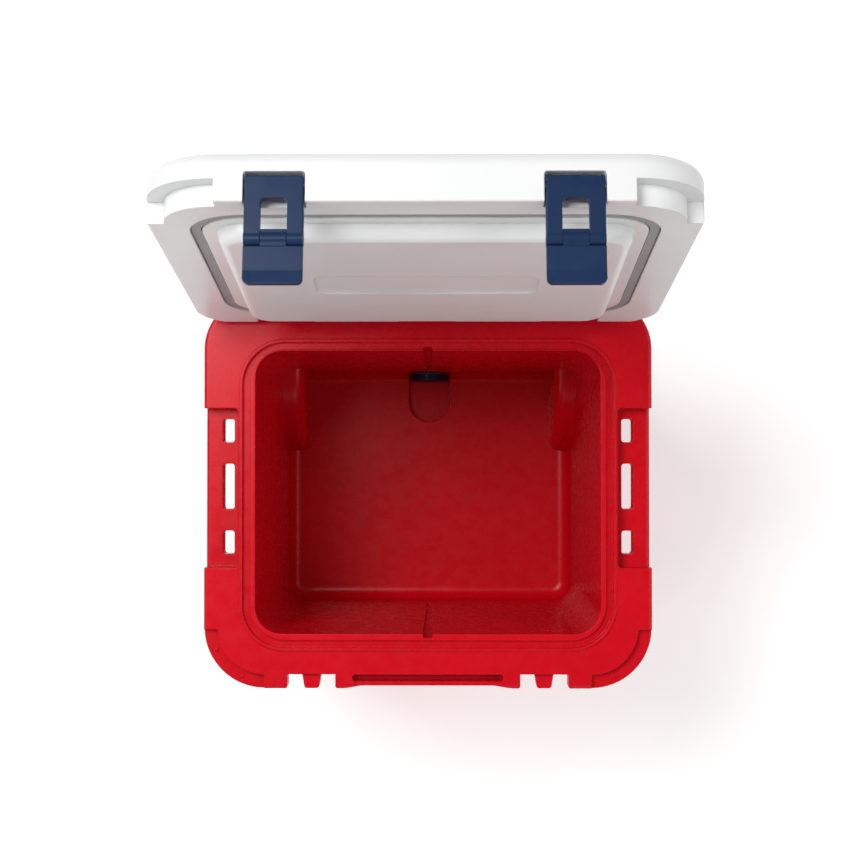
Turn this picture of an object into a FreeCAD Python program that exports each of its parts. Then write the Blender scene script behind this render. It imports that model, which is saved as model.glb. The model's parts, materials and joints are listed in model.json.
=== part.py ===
import FreeCAD, Part
import math
import os
import re
import Sketcher

# Hard cooler on two wheels: a double-walled body, a hinged lid with two latches, a drain and a
# telescoping pull handle. Millimetres and degrees. +X is the object's right, +Y its back and +Z up.
# The ground is z = 0. Pieces are drawn about the middle of the body with the lid closed, and their
# placements then open the lid, lean the handle and move everything by body_y.

SIZES = {
    # body
    "body_width": 480,
    "body_depth": 420,
    "rim_height": 470,
    "base_height": 62,
    "body_y": -40.7,
    "front_corner": 65,
    "back_corner": 56,
    "flange_thickness": 22,
    "flange_edge": 4,
    "side_overhang": 13,
    "end_overhang": 17,
    "wall_corner": 42,
    "wall_draft": 1.2,
    "base_edge": 12,
    "skin": 4,
    # room inside
    "room_width": 370,
    "room_depth": 303,
    "room_corner": 29,
    "room_height": 355,
    "room_draft": 1.3,
    "floor_edge": 14,
    "bead_width": 404,
    "bead_depth": 334,
    "bead_offset": -3,
    "bead_corner": 49,
    "bead_thickness": 3.5,
    "bead_height": 1.5,
    "groove_width": 8,
    "groove_depth": 4,
    "divider_top": 10,
    "divider_bottom": 4,
    "divider_depth": 4.5,
    "sump_width": 52,
    "sump_length": 50,
    "sump_depth": 10,
    # wheel wells
    "wheel_radius": 80,
    "wheel_width": 42,
    "wheel_y": 150,
    "wheel_inside": 178,
    "well_gap": 10,
    "well_inside": 172,
    "bump_inside": 153,
    "bump_radius": 104,
    "bump_y": 150,
    "bump_height": 121,
    "bump_edge": 12,
    # grips, ledges, keepers and front scoop on the flange
    "grip_front": -81,
    "grip_back": 90,
    "grip_drop": 20,
    "grip_inset": 0.3,
    "grip_wall": 203,
    "grip_reach": 146,
    "slot_inside": 209.3,
    "slot_width": 12.5,
    "slot_edge": 3,
    "slot_middle": 5.8,
    "slot_spacing": 60.4,
    "slot_short": 25.2,
    "slot_long": 49,
    "ledge_width": 15,
    "ledge_drop": 8,
    "latch_x": 124.5,
    "keeper_tip": 15.2,
    "keeper_base": 20.4,
    "keeper_gap": 51.4,
    "keeper_depth": 15.5,
    "keeper_drop": 6,
    "keeper_edge": 2.5,
    "keeper_nose": 3,
    "pocket_depth": 8,
    "pocket_height": 62,
    "scoop_width": 182,
    "scoop_run": 20,
    "scoop_round": 30,
    "scoop_lip": 1.5,
    "scoop_inset": 3.5,
    "scoop_slot": 8,
    "scoop_wall": 4,
    "scoop_depth": 15,
    # feet
    "leg_x": 150,
    "leg_width": 92,
    "leg_front": -176,
    "leg_back": -116,
    "leg_draft": 4,
    "foot_height": 12,
    "foot_margin": 8,
    "screw_radius": 2,
    "screw_head": 4,
    "screw_head_height": 2.6,
    "screw_length": 14,
    "boss_radius": 6,
    # axle
    "axle_radius": 6,
    "axle_end": 224,
    "channel_width": 20,
    "channel_gap": 10,
    "bracket_x": 112,
    "bracket_width": 30,
    "bracket_length": 50,
    "bracket_thickness": 4,
    "washer_radius": 14,
    "washer_thickness": 1.6,
    "clip_radius": 9.5,
    "clip_thickness": 1.5,
    "fit": 0.05,
    "gap": 0.4,
    # wheels
    "rim_radius": 62,
    "hub_bore": 9,
    "spoke_window": 15,
    "spoke_ring": 38,
    "tread_depth": 1.6,
    "tread_groove": 2.4,
    "tyre_shoulder": 6,
    "spokes": 6,
    "cap_height": 10,
    # drain
    "drain_z": 130,
    "drain_setback": 8.3,
    "drain_disc": 24.5,
    "drain_tube": 13,
    "drain_bore": 9,
    "drain_collar": 8,
    "drain_nut": 21,
    "drain_nut_width": 9,
    "drain_seal": 2,
    "drain_reach": 19,
    "plug_radius": 16,
    "plug_length": 12,
    "plug_grip": 11,
    # lid
    "lid_thickness": 45,
    "lid_gap": 0.5,
    "lid_edge": 13,
    "lid_open": 99.6,
    "hinge_inset": 13,
    "hinge_rise": 16,
    "hinge_round": 13,
    "rod_radius": 4,
    "rod_end": 201,
    "hinge_cap": 5,
    "ear_radius": 11,
    "ear_width": 60,
    "ear_x": 150,
    "plug_gap": 3,
    "plug_height": 14,
    "plug_draft": 8,
    "plug_edge": 10,
    "notch_height": 20,
    "panel_width": 210,
    "panel_depth": 62,
    "panel_recess": 1.5,
    "panel_corner": 12,
    "seal_width": 8.5,
    "seal_height": 6.5,
    "lid_skin": 12,
    # latches
    "latch_rise": 3.9,
    "latch_depth": 8,
    "latch_recess": 18,
    "link_width": 49.3,
    "link_bar": 19.4,
    "link_arm": 13.4,
    "link_depth": 9,
    "link_length": 60,
    "link_edge": 1.2,
    "link_corner": 3.5,
    "bar_depth": 14,
    "pin_radius": 2,
    "knuckle": 6.5,
    "tongue_depth": 6,
    "lever_length": 33,
    "lever_depth": 6,
    "lever_edge": 5.5,
    # handle
    "rake": 8,
    "handle_offset": 48,
    "handle_base": 80,
    "tube_x": 76,
    "tube_wall": 1.2,
    "sleeve_radius": 11,
    "middle_radius": 9.2,
    "inner_radius": 7.4,
    "sleeve_length": 410,
    "collar_height": 6,
    "stage_step": 6,
    "guide_length": 24,
    "housing_wall": 3.5,
    "housing_base": 22,
    "housing_head": 92,
    "tab_low": 110,
    "tab_high": 390,
    "tab_width": 22,
    "tab_height": 24,
    "tab_thickness": 4,
    "bar_height": 28,
    "bar_width": 30,
    "bar_length": 196,
    "button_length": 44,
    "button_width": 16,
    "button_travel": 4,
    "button_pocket": 16,
    "spring_radius": 4,
    "spring_wire": 0.5,
    "spring_height": 6.4,
    "spring_pitch": 2,
    "lock_radius": 2.5,
    "stage_travel": 250,
}

document = FreeCAD.newDocument("WheeledCooler")
sheet = document.addObject("Spreadsheet::Sheet", "Dims")
for row, (name, size) in enumerate(SIZES.items(), 1):
    sheet.set(f"A{row}", name)
    sheet.set(f"B{row}", str(size))
    sheet.setAlias(f"B{row}", name)
document.recompute()


# ---- formulas ---------------------------------------------------------------------------------


def linked(formula):
    """The formula with every named size pointed at its cell."""
    return re.sub(r"[a-z]\w+", lambda word: "Dims." + word[0] if word[0] in SIZES else word[0], str(formula))


def value(formula):
    """What a formula comes to with the sheet's sizes."""
    result = sheet.evalExpression(linked(formula))
    return float(getattr(result, "Value", result))


def bind(item, **formulas):
    """Bind properties of a document object to formulas; a double underscore stands for a dot."""
    for name, formula in formulas.items():
        item.setExpression(name.replace("__", "."), linked(formula))
    return item


def place(item, x=0, y=0, z=0):
    """Bind where a document object stands."""
    return bind(item, Placement__Base__x=x, Placement__Base__y=y, Placement__Base__z=z)


# ---- plain solids and booleans ----------------------------------------------------------------

ALONG = {
    "X": FreeCAD.Rotation(FreeCAD.Vector(0, 1, 0), 90),
    "Y": FreeCAD.Rotation(FreeCAD.Vector(1, 0, 0), -90),
    "Z": FreeCAD.Rotation(),
}


def box(x, y, z):
    """A block between a pair of formulas in each direction."""
    item = document.addObject("Part::Box", "Block")
    bind(item, Length=f"({x[1]}) - ({x[0]})", Width=f"({y[1]}) - ({y[0]})", Height=f"({z[1]}) - ({z[0]})")
    return place(item, x[0], y[0], z[0])


def rod(radius, length, x=0, y=0, z=0, along="Z"):
    """A cylinder that starts at a point and runs along an axis."""
    item = document.addObject("Part::Cylinder", "Round")
    bind(item, Radius=radius, Height=length)
    item.Placement.Rotation = ALONG[along]
    return place(item, x, y, z)


def fuse(*pieces):
    item = document.addObject("Part::MultiFuse", "Fusion")
    item.Shapes = list(pieces)
    return item


def group(*pieces):
    """Separate solids kept together, as identical fasteners are."""
    item = document.addObject("Part::Compound", "Group")
    item.Links = list(pieces)
    return item


def common(*pieces):
    item = document.addObject("Part::MultiCommon", "Shared")
    item.Shapes = list(pieces)
    return item


def cut(base, *tools):
    item = document.addObject("Part::Cut", "Remainder")
    item.Base = base
    item.Tool = tools[0] if len(tools) == 1 else fuse(*tools)
    return item


def pipe(outer, inner, length, x=0, y=0, z=0, along="Z"):
    """A tube that starts at a point and runs along an axis."""
    return cut(rod(outer, length, x, y, z, along), rod(inner, length, x, y, z, along))


# ---- bodies with sketches ---------------------------------------------------------------------

CORNERS = ((1, -1), (1, 1), (-1, 1), (-1, -1))


def new_body(name):
    return document.addObject("PartDesign::Body", name)


def new_sketch(body, role, offset="0"):
    """An empty sketch on one of the body's origin planes, moved along the plane's normal."""
    plane = next(item for item in body.Origin.OriginFeatures if item.Role == role)
    sketch = body.newObject("Sketcher::SketchObject", "Outline")
    sketch.AttachmentSupport = (plane, [""])
    sketch.MapMode = "FlatFace"
    return bind(sketch, AttachmentOffset__Base__z=offset)


def fix(sketch, line, point, x=None, y=None):
    """Hold a point of a line at a distance from the sketch's origin."""
    for kind, formula, axis in (("DistanceX", x, -2), ("DistanceY", y, -1)):
        if formula == "0":
            sketch.addConstraint(Sketcher.Constraint("PointOnObject", line, point, axis))
        elif formula is not None:
            index = sketch.addConstraint(Sketcher.Constraint(kind, -1, 1, line, point, value(formula)))
            bind(sketch, **{f"Constraints[{index}]": formula})


def polygon(sketch, corners):
    """A closed outline with straight sides through corners that are pairs of formulas."""
    points = [FreeCAD.Vector(value(x), value(y), 0) for x, y in corners]
    ends = points[1:] + points[:1]
    lines = [sketch.addGeometry(Part.LineSegment(a, b), False) for a, b in zip(points, ends)]
    for number, line in enumerate(lines):
        following = lines[(number + 1) % len(lines)]
        sketch.addConstraint(Sketcher.Constraint("Coincident", line, 2, following, 1))
        fix(sketch, line, 1, *corners[number])
    return sketch


def rounded(sketch, x, y, *radii):
    """A rectangle between pairs of formulas, with a radius at all corners or at front and back."""
    low = FreeCAD.Vector(value(x[0]), value(y[0]), 0)
    high = FreeCAD.Vector(value(x[1]), value(y[1]), 0)
    bend = {-1: radii[0], 1: radii[-1]}
    up = FreeCAD.Vector(0, 0, 1)
    centres = []
    for side, end in CORNERS:
        size = value(bend[end])
        corner = FreeCAD.Vector(high.x if side > 0 else low.x, high.y if end > 0 else low.y, 0)
        centres.append((corner - FreeCAD.Vector(side * size, end * size, 0), size))
    pieces = []
    for number, (centre, size) in enumerate(centres):
        before, size_before = centres[number - 1]
        turn = (number - 1) * math.pi / 2
        out = FreeCAD.Rotation(up, 90 * number - 90).multVec(FreeCAD.Vector(1, 0, 0))
        start = before + out * size_before
        end = centre + out * size
        pieces.append(sketch.addGeometry(Part.LineSegment(start, end), False))
        circle = Part.Circle(centre, up, size)
        pieces.append(sketch.addGeometry(Part.ArcOfCircle(circle, turn, turn + math.pi / 2), False))
    for number, piece in enumerate(pieces):
        following = pieces[(number + 1) % 8]
        sketch.addConstraint(Sketcher.Constraint("Tangent", piece, 2, following, 1))
    for number, kind in ((0, "Horizontal"), (2, "Vertical"), (4, "Horizontal"), (6, "Vertical")):
        sketch.addConstraint(Sketcher.Constraint(kind, pieces[number]))
    fix(sketch, pieces[0], 1, y=y[0])
    fix(sketch, pieces[2], 1, x=x[1])
    fix(sketch, pieces[4], 1, y=y[1])
    fix(sketch, pieces[6], 1, x=x[0])
    for number, (side, end) in enumerate(CORNERS):
        index = sketch.addConstraint(Sketcher.Constraint("Radius", pieces[2 * number + 1], value(bend[end])))
        bind(sketch, **{f"Constraints[{index}]": bend[end]})
    return sketch


def pad(body, sketch, length, taper=None, reverse=False, middle=False):
    """Extrude a sketch; a positive taper widens it on the way."""
    item = body.newObject("PartDesign::Pad", "Pad")
    item.Profile = sketch
    item.Reversed = reverse
    item.Midplane = middle
    bind(item, Length=length)
    if taper is not None:
        bind(item, TaperAngle=taper)
    return item


def soften(body, feature, radius, choose):
    """Round the edges of a feature that choose picks."""
    document.recompute()
    names = [f"Edge{n}" for n, edge in enumerate(feature.Shape.Edges, 1) if choose(edge)]
    item = body.newObject("PartDesign::Fillet", "Fillet")
    item.Base = (feature, names)
    return bind(item, Radius=radius)


def upright(y, *places_x):
    """A test for edges that stand along z at a y, and at one of some x where these are given."""
    across = value(y)
    along = [value(x) for x in places_x]

    def test(edge):
        first, last = edge.Vertexes[0].Point, edge.Vertexes[-1].Point
        if abs(first.x - last.x) > 0.01 or abs(first.y - last.y) > 0.01:
            return False
        return abs(first.y - across) < 0.01 and (not along or min(abs(first.x - x) for x in along) < 0.01)

    return test


def facing(axis, formula):
    """A test for edges in a plane square to an axis."""
    place_on_axis = value(formula)
    return lambda edge: max(abs(getattr(v, axis) - place_on_axis) for v in edge.Vertexes) < 0.01


def slab(x, y, low, high, radii, taper=None, edges=()):
    """A rounded rectangle from one height to another; edges holds pairs of height and radius."""
    body = new_body("Slab")
    sketch = rounded(new_sketch(body, "XY_Plane", low), x, y, *radii)
    down = value(high) < value(low)
    feature = pad(body, sketch, f"abs(({high}) - ({low}))", taper, down)
    for height, radius in edges:
        feature = soften(body, feature, radius, facing("Z", height))
    return body


def prism(role, corners, start, length, reverse=False):
    """A straight-sided outline on an origin plane, extruded from an offset."""
    body = new_body("Prism")
    pad(body, polygon(new_sketch(body, role, start), corners), length, reverse=reverse)
    return body


def turned(corners, angle=360):
    """A ring or disc turned about the z axis from an outline of radius and height."""
    body = new_body("Turned")
    sketch = polygon(new_sketch(body, "XZ_Plane"), corners)
    item = body.newObject("PartDesign::Revolution", "Revolution")
    item.Profile = sketch
    item.ReferenceAxis = (sketch, ["V_Axis"])
    item.Angle = angle
    return body


def mirrored(item):
    """A twin of an object on the other side of the x = 0 plane."""
    twin = document.addObject("Part::Mirroring", "Twin")
    twin.Source = item
    twin.Normal = (1, 0, 0)
    return twin


# ---- sub-parts --------------------------------------------------------------------------------

PARTS = {}
HINGE_Y = "(body_depth / 2 - hinge_inset)"
HINGE_Z = "(rim_height + hinge_rise)"
HANDLE_Y = "(body_depth / 2 + handle_offset)"
BAR_TOP = "(rim_height + latch_rise + link_bar)"
PIN_Z = f"({BAR_TOP} - bar_depth / 2)"
PIN_Y = "(latch_depth - body_depth / 2)"
LINK_FACE = f"({PIN_Y} - bar_depth / 2)"
LEVER_Z = f"({BAR_TOP} - link_length + knuckle)"
LEVER_Y = f"({PIN_Y} - 1.5)"
WALL_X = "(body_width / 2 - side_overhang)"
WALL_Y = "(body_depth / 2 - end_overhang)"
FLANGE_Z = "(rim_height - flange_thickness)"
FLOOR_Z = "(rim_height - room_height)"
SUMP_Z = "(rim_height - room_height - sump_depth)"
DRAIN_FACE = "(room_depth / 2 - drain_setback)"
DIVIDER_Z = f"({SUMP_Z} + 62)"
SIDES = (("left", -1), ("right", 1))


def keep(name, item, pose=None):
    """Label a finished sub-part and put it in its place on the object."""
    if item.TypeId in ("Part::Box", "Part::Cylinder", "Part::Sweep"):
        item = group(item)
    item.Label = name
    (pose or stand)(item)
    PARTS[name] = item
    return item


def stand(item):
    """Placement of a piece that stays as drawn, moved with the body."""
    place(item, 0, "body_y", 0)


def swing(item):
    """Placement of a piece of the lid, turned back about the hinge from closed to open."""
    item.Placement.Rotation.Axis = FreeCAD.Vector(1, 0, 0)
    bind(item, Placement__Rotation__Angle="-lid_open")
    y = f"body_y + {HINGE_Y} - ({HINGE_Y} * cos(lid_open) + {HINGE_Z} * sin(lid_open))"
    z = f"{HINGE_Z} + {HINGE_Y} * sin(lid_open) - {HINGE_Z} * cos(lid_open)"
    place(item, 0, y, z)


def lean(item):
    """Placement of a piece of the handle, drawn upright from the foot of its tubes."""
    item.Placement.Rotation.Axis = FreeCAD.Vector(1, 0, 0)
    bind(item, Placement__Rotation__Angle="-rake")
    place(item, 0, f"body_y + {HANDLE_Y} - (rim_height - handle_base) * tan(rake)", "handle_base")


def span(middle, width):
    """The two ends of a width about a middle."""
    return (f"({middle}) - ({width}) / 2", f"({middle}) + ({width}) / 2")


def rectangle(width, depth, middle="0"):
    """The x and y extents of a rectangle about x = 0."""
    return span("0", width), span(middle, depth)


def wheel_bumps(grow):
    """The humps in the room's back corners, over the wheels, with their walls moved in by grow."""
    start = f"(bump_inside + {grow})"
    radius = f"(bump_radius - {grow})"
    body = new_body("Bump")
    sketch = new_sketch(body, "YZ_Plane", start)
    rounded(sketch, span("bump_y", f"2 * {radius}"), (f"{FLOOR_Z} - 40", f"bump_height + {radius}"),
            "bump_edge + 2", f"{radius} - 1")
    arch = pad(body, sketch, "room_width / 2")
    soften(body, arch, f"bump_edge - {grow}", facing("X", start))
    return [body, mirrored(body)]


def room(grow):
    """The room inside the body, with every wall moved out by grow."""
    x, y = rectangle(f"room_width + 2 * {grow}", f"room_depth + 2 * {grow}")
    floor = f"({FLOOR_Z} - {grow})"
    corner = f"room_corner + {grow}"
    space = slab(x, y, "rim_height", floor, (corner,), "-room_draft", ((floor, "floor_edge"),))
    sump_y = "room_depth / 2 - 20"
    front = f"{sump_y} - sump_length + sump_width / 2"
    sump = fuse(
        rod(f"sump_width / 2 + {grow}", f"sump_depth + {grow} + 20", 0, front, f"{SUMP_Z} - {grow}"),
        box(span("0", f"sump_width + 2 * {grow}"), (front, f"{DRAIN_FACE} + {grow}"),
            (f"{SUMP_Z} - {grow}", f"{SUMP_Z} + 25")),
    )
    return fuse(cut(space, *wheel_bumps(grow)), sump)


def divider_grooves():
    """Grooves in the front and back walls that hold a divider, narrower and shallower lower down."""
    bottom = DIVIDER_Z
    half_top, half_low = "divider_top / 2", "divider_bottom / 2"
    width = [(f"-{half_top}", "rim_height"), (f"-{half_low}", bottom),
             (half_low, bottom), (half_top, "rim_height")]
    front = prism("XZ_Plane", width, "-room_depth", "2 * room_depth")
    outside = "(room_depth / 2 + divider_depth)"
    lean_in = f"({outside} - (rim_height - {bottom}) * tan(room_draft + 0.5))"
    depth = [(outside, "rim_height"), (lean_in, bottom),
             (f"{lean_in} - 12", bottom), (f"{outside} - 12", "rim_height")]
    back = prism("YZ_Plane", depth, "-divider_top", "2 * divider_top")
    groove = common(front, back)
    twin = document.addObject("Part::Mirroring", "Twin")
    twin.Source = groove
    twin.Normal = (0, 1, 0)
    return fuse(groove, twin)


def tub(inset):
    """The outside of the body below its flange, with every wall moved in by inset."""
    x, y = rectangle(f"2 * {WALL_X} - 2 * {inset}", f"2 * {WALL_Y} - 2 * {inset}")
    bottom = f"(base_height + {inset})"
    top = f"({FLANGE_Z} + 14 - {inset})"
    return slab(x, y, top, bottom, (f"wall_corner - {inset}",), "-wall_draft", ((bottom, "base_edge"),))


def legs(inset):
    """The two moulded legs under the front of the body."""
    pieces = []
    for side in (-1, 1):
        x = span(f"{side} * leg_x", f"leg_width - 2 * {inset}")
        y = (f"leg_front + {inset}", f"leg_back - {inset}")
        bottom = f"foot_height + {inset}"
        pieces.append(slab(x, y, "base_height + 20", bottom, (f"12 - {inset}",), "-leg_draft"))
    return pieces


def wells(grow):
    """The spaces for the wheels and for the axle between them."""
    pieces = []
    for side in (-1, 1):
        start = f"well_inside - {grow}"
        well = rod(f"wheel_radius + well_gap + {grow}", "body_width", start, "wheel_y", "wheel_radius", "X")
        pieces.append(well if side > 0 else mirrored(well))
    channel = box(span("0", "2 * well_inside"), span("wheel_y", f"channel_width + 2 * {grow}"),
                  ("base_height - 20", f"wheel_radius + channel_gap + {grow}"))
    return [*pieces, channel]


def grip_recesses(grow):
    """The hollows below the side grips, for the fingers."""
    low = f"{FLANGE_Z} - grip_drop - grip_reach"
    pieces = []
    for side in (-1, 1):
        inside = f"(grip_wall - {grow})"
        slope = f"({inside} + 60)"
        profile = [(inside, f"{low} + 45"), (inside, f"{FLANGE_Z} - grip_drop + 40"),
                   (slope, f"{FLANGE_Z} - grip_drop + 40"), (slope, f"{low} - 45 - {grow}")]
        recess = prism("XZ_Plane", profile, f"-(grip_back + {grow})", f"grip_back - grip_front + 2 * {grow}")
        pieces.append(recess if side > 0 else mirrored(recess))
    return pieces


def latch_pockets(grow):
    """Hollows in the front wall that let the latch tongues swing clear."""
    return [
        box(span(f"{side} * latch_x", f"keeper_gap + 12 + 2 * {grow}"),
            ("-body_depth", f"pocket_depth - {WALL_Y} + {grow}"),
            (f"{FLANGE_Z} - pocket_height - {grow}", FLANGE_Z))
        for side in (-1, 1)
    ]


def drain_tunnel(grow):
    """The hole for the drain through the back wall."""
    return rod(f"drain_tube + fit + {grow}", "body_depth / 2", 0, "room_depth / 2 - 25", "drain_z", "Y")


def leg_screw_places():
    """Where the screws of the feet are, in x and y."""
    return [(f"{side} * (leg_x + {step} * leg_width / 5)", "(leg_front + leg_back) / 2")
            for side in (-1, 1) for step in (-1, 1)]


def bracket_screw_places():
    """Where the screws of the axle brackets are, in x and y."""
    return [(f"{side} * bracket_x", f"wheel_y + {step} * (bracket_length / 2 - 8)")
            for side in (-1, 1) for step in (-1, 1)]


def housing_screw_places():
    """Where the screws of the handle housing are, in x and z."""
    heights = ("tab_low", "(tab_low + tab_high) / 2", "tab_high")
    return [(f"{side} * (tube_x + sleeve_radius + 14)", height) for side in (-1, 1) for height in heights]


def wall_back(height):
    """How far back the body's back wall stands at a height."""
    return f"({WALL_Y} - ({FLANGE_Z} + 14 - ({height})) * tan(wall_draft))"


def screw(x, y, z, up=True, length="screw_length"):
    """A pan-head screw under a face, pointing up, or on a back face, pointing forward."""
    if up:
        shank = rod("screw_radius", length, x, y, z)
        head = rod("screw_head", "screw_head_height", x, y, f"({z}) - screw_head_height")
    else:
        shank = rod("screw_radius", length, x, f"({y}) - ({length})", z, "Y")
        head = rod("screw_head", "screw_head_height", x, y, z, "Y")
    return fuse(shank, head)


def screw_bosses(radius, extra):
    """Solid places in the body's skin for the screws of the feet, brackets and handle."""
    deep = f"screw_length + {extra}"
    pieces = [rod(radius, deep, x, y, "foot_height - 0.01") for x, y in leg_screw_places()]
    pieces += [rod(radius, deep, x, y, "base_height - 6") for x, y in bracket_screw_places()]
    pieces += [rod(radius, f"{deep} + 20", x, f"{wall_back(z)} - ({deep})", z, "Y")
               for x, z in housing_screw_places()]
    return pieces


def flange():
    """The thick rim round the top of the body, with its side grips still level."""
    x, y = rectangle("body_width", "body_depth")
    edges = (("rim_height", "flange_edge"), (FLANGE_Z, "flange_edge"))
    return slab(x, y, FLANGE_Z, "rim_height", ("front_corner", "back_corner"), edges=edges)


def grips():
    """The lowered bars of the side grips."""
    top = "(rim_height - grip_drop)"
    bottom = f"({FLANGE_Z} - grip_drop)"
    edges = ((top, "flange_edge"), (bottom, "flange_edge"))
    return slab(span("0", "body_width - 2 * grip_inset"), ("grip_front - 14", "grip_back + 14"), bottom, top,
                ("6",), edges=edges)


def grip_dips():
    """What is taken from the flange to lower the side grips."""
    pieces = []
    for side in (-1, 1):
        x = ("bead_width / 2 + 1.5", "body_width / 2 + 20")
        dip = slab(x, ("grip_front", "grip_back"), "rim_height - grip_drop", "rim_height + 9", ("4",))
        pieces.append(dip if side > 0 else mirrored(dip))
    return pieces


def grip_slots():
    """Three slots through each side grip."""
    pieces = []
    for step, length in ((-1, "slot_short"), (0, "slot_long"), (1, "slot_short")):
        x = ("slot_inside", "slot_inside + slot_width")
        y = span(f"slot_middle + {step} * slot_spacing", length)
        slot = slab(x, y, f"{FLANGE_Z} - grip_drop - 60", "rim_height + 5", ("slot_edge",))
        pieces += [slot, mirrored(slot)]
    return pieces


def corner_ledges(width, low, high):
    """The strips that follow the two front corners, between two heights."""
    pieces = []
    middle_x = "(body_width / 2 - front_corner)"
    middle_y = "(front_corner - body_depth / 2)"
    for side in (-1, 1):
        block = box((middle_x, "body_width"), ("-body_depth", f"{middle_y} - 2"), (low, high))
        core = rod(f"front_corner - {width}", f"({high}) - ({low}) + 2", middle_x, middle_y, f"({low}) - 1")
        strip = cut(block, core)
        pieces.append(strip if side > 0 else mirrored(strip))
    return pieces


def keeper_cuts():
    """The gaps beside the keeper teeth, rounded at their mouths, and the step that lowers the teeth."""
    pieces = []
    face = "(-body_depth / 2)"
    root = "(keeper_depth - body_depth / 2)"
    outside = "(-body_depth / 2 - 10)"
    for side in (-1, 1):
        middle = f"{side} * latch_x"
        for turn in (-1, 1):
            tip = f"{middle} + {turn} * keeper_tip / 2"
            wall = f"{middle} + {turn} * keeper_gap / 2"
            on_tooth = f"{tip} - {turn} * (keeper_nose + 2)"
            on_wall = f"{wall} + {turn} * (keeper_nose + 2)"
            corners = [(on_tooth, outside), (on_tooth, face), (tip, face),
                       (f"{middle} + {turn} * keeper_base / 2", root),
                       (wall, root), (wall, face), (on_wall, face), (on_wall, outside)]
            body = new_body("Gap")
            sketch = polygon(new_sketch(body, "XY_Plane", f"{FLANGE_Z} - 5"), corners)
            gap_pad = pad(body, sketch, "flange_thickness + 15")
            inner = soften(body, gap_pad, "keeper_edge", upright(root))
            soften(body, inner, "keeper_nose", upright(face, tip, wall))
            pieces.append(body)
        pieces.append(box(span(middle, "keeper_gap"), (outside, root),
                          ("rim_height - keeper_drop", "rim_height + 9")))
    return pieces


def front_scoop():
    """The finger scoop at the middle of the front edge: a shallow inset with a groove behind it."""
    face = "(-body_depth / 2)"
    front = "(scoop_inset - body_depth / 2)"
    outside = "(-body_depth / 2 - 10)"
    half = "(scoop_width / 2)"
    deep = "(scoop_width / 2 - scoop_run)"
    body = new_body("Inset")
    end = "(scoop_width / 2 + scoop_round / 4)"
    corners = [(f"-{end}", outside), (f"-{end}", face), (f"-{half}", face), (f"-{deep}", front),
               (deep, front), (half, face), (end, face), (end, outside)]
    sketch = polygon(new_sketch(body, "XY_Plane", f"{FLANGE_Z} - 5"), corners)
    inset = pad(body, sketch, "flange_thickness + 15")
    bends = soften(body, inset, "scoop_round", upright(face, f"-{half}", half))
    soften(body, bends, "scoop_round", upright(front))
    groove = slab(span("0", "scoop_width - scoop_run"),
                  (f"{front} + scoop_wall", f"{front} + scoop_wall + scoop_slot"),
                  "rim_height + 5", "rim_height - scoop_depth", ("scoop_slot / 2 - 0.5",), "-4")
    lip = box(span("0", "scoop_width - scoop_run - 8"), ("-body_depth", f"{front} + scoop_wall + 1"),
              ("rim_height - scoop_lip", "rim_height + 9"))
    return [body, groove, lip]


def seal_ring(outside, width, low, high):
    """A ring that follows the seal bead, outside being how far its outer edge is inside the bead's."""
    y = "bead_offset"
    inside = f"({outside} + {width})"
    outer = rectangle(f"bead_width - 2 * ({outside})", f"bead_depth - 2 * ({outside})", y)
    inner = rectangle(f"bead_width - 2 * {inside}", f"bead_depth - 2 * {inside}", y)
    return cut(slab(*outer, low, high, (f"bead_corner - ({outside})",)),
               slab(*inner, low, high, (f"bead_corner - ({outside} + {width})",)))


def hinge_ears():
    """Three ears that stand on the back of the flange and carry the hinge rod."""
    pieces = []
    for place_x in ("-ear_x", "0", "ear_x"):
        x = span(place_x, "ear_width")
        pieces.append(rod("ear_radius", "ear_width", x[0], HINGE_Y, HINGE_Z, "X"))
        pieces.append(box(x, span(HINGE_Y, "2 * ear_radius"), ("rim_height - 2", HINGE_Z)))
    return pieces


def make_body():
    """The double-walled body and the foam that fills it."""
    ledges = corner_ledges("ledge_width", "rim_height - ledge_drop", "rim_height + 9")
    flanged = cut(flange(), *grip_dips(), *ledges, *keeper_cuts(), *front_scoop())
    bead = seal_ring("0", "bead_thickness", "rim_height - 2", "rim_height + bead_height")
    groove = seal_ring("bead_thickness", "groove_width", "rim_height - groove_depth", "rim_height + 5")
    grip_space = cut(fuse(*grip_recesses("0")), grips())
    outside = fuse(flanged, grips(), tub("0"), *legs("0"), bead, *hinge_ears())
    hollows = [*wells("0"), *latch_pockets("0"), grip_space]
    foam = cut(
        fuse(tub("skin"), *legs("skin")),
        room("skin"),
        *wells("skin"),
        *grip_recesses("skin"),
        *latch_pockets("skin"),
        drain_tunnel("skin"),
        *screw_bosses("boss_radius", "skin"),
        seal_ring("bead_thickness - skin", "groove_width + 2 * skin",
                  "rim_height - groove_depth - skin", "rim_height"),
        slab(span("0", "scoop_width + 2 * skin"), ("-body_depth", "scoop_inset - body_depth / 2 + 22"),
             f"{FLANGE_Z} - 4", "rim_height", ("4",)),
        box(span("0", "divider_top + 2 * skin"), span("0", "room_depth + 2 * divider_depth + 2 * skin"),
            (f"{DIVIDER_Z} - skin", "rim_height")),
    )
    shell = cut(
        outside,
        room("0"),
        divider_grooves(),
        groove,
        *hollows,
        *grip_slots(),
        drain_tunnel("0"),
        rod("rod_radius", "body_width", "-body_width / 2", HINGE_Y, HINGE_Z, "X"),
        *screw_bosses("screw_radius", "0"),
    )
    keep("body_foam", group(foam))
    keep("body_shell", cut(shell, foam))


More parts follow.
